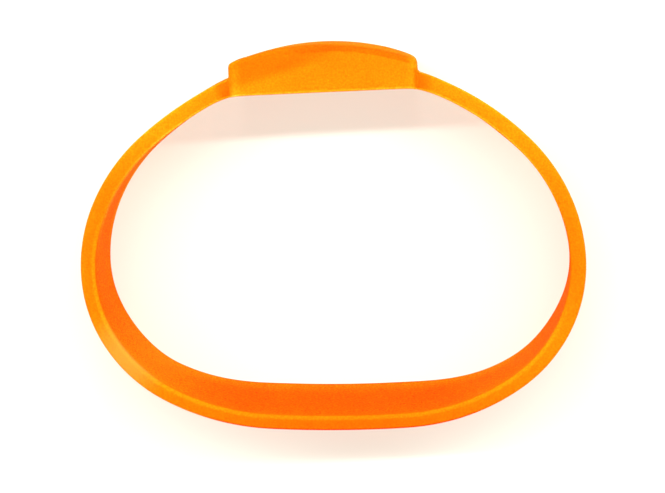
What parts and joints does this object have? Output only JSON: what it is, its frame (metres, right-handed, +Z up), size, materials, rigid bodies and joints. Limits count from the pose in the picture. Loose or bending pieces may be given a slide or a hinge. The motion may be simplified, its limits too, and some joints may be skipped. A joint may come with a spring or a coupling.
{
  "type": "silicone wristband",
  "caption": "Plain silicone wristband moulded in one piece: a closed, softly oval strap with a thick domed head. It slips over the hand and is worn round the wrist.",
  "frame": {"origin": "middle of the footprint, on the surface that the band lies on", "axes": "+Z up, along the wrist that the band goes round; the head faces -Y; +X along the head, to the right seen from the head's side"},
  "size_m": [0.0806, 0.0614, 0.0184],
  "materials": {
    "silicone": "matte orange silicone rubber, slightly translucent"
  },
  "bodies": {
    "root": {"band": "silicone"}
  },
  "joints": []
}
